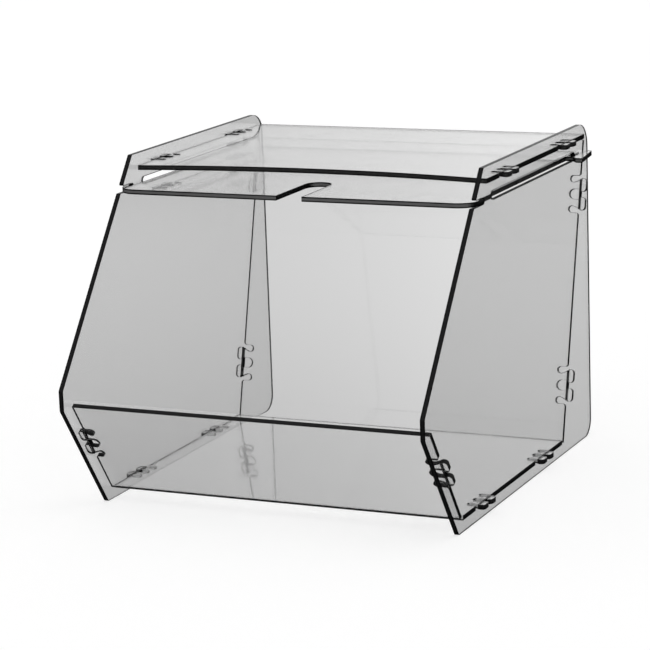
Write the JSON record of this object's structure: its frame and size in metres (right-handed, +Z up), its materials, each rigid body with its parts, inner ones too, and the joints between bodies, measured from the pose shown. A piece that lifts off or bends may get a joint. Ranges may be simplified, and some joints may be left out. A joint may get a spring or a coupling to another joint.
{
  "type": "candy bin",
  "caption": "Clear countertop bin for sweets, made of interlocking flat panels, with a sloping front lip, a fixed top and a sliding lid that has a scoop notch.",
  "frame": {"origin": "middle of the footprint, on the surface that the side panels stand on", "axes": "+X is the bin's right-hand side seen from the front, +Y its back, +Z up; the lid slides along -Y to come forward"},
  "size_m": [0.2778, 0.3174, 0.2297],
  "materials": {
    "side_sheet": "clear acrylic sheet with polished faces and dark laser-cut edges",
    "panel_sheet": "clear acrylic sheet with polished faces and dark laser-cut edges",
    "lid_sheet": "clear acrylic sheet with polished faces, dark laser-cut edges and light sliding wear"
  },
  "bodies": {
    "bin": {"side_panel_left": "side_sheet", "side_panel_right": "side_sheet", "floor_panel": "panel_sheet", "front_lip": "panel_sheet", "back_panel": "panel_sheet", "top_panel": "panel_sheet"},
    "lid": {"lid": "lid_sheet"}
  },
  "joints": [
    {"name": "lid_slide", "type": "slide", "parent": "bin", "child": "lid", "axis": [0, -1, 0], "range_m": [0, 0.155]}
  ]
}
